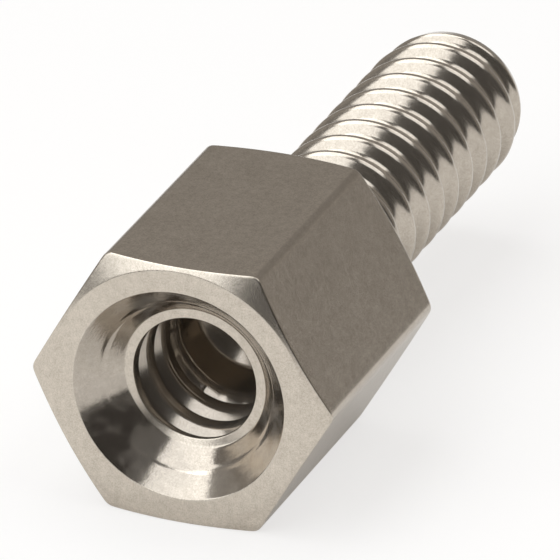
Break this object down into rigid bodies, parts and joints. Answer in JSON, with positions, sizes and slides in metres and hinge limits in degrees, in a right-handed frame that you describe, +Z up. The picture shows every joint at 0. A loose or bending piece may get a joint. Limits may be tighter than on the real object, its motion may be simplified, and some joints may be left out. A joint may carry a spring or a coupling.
{
  "type": "jack screw",
  "caption": "Hexagonal jack screw: a short standoff body with a countersunk tapped hole in one end and a screw stud on the other.",
  "frame": {"origin": "centre of the shoulder on the screw's axis, where the stud leaves the hexagon", "axes": "+X along the stud towards its tip, +Z up from the upper flat, with the screw lying on its lower flat"},
  "size_m": [0.0129, 0.0054, 0.0048],
  "materials": {
    "plated_metal": "satin nickel plate, warm grey"
  },
  "bodies": {
    "root": {"jack_screw": "plated_metal"}
  },
  "joints": []
}
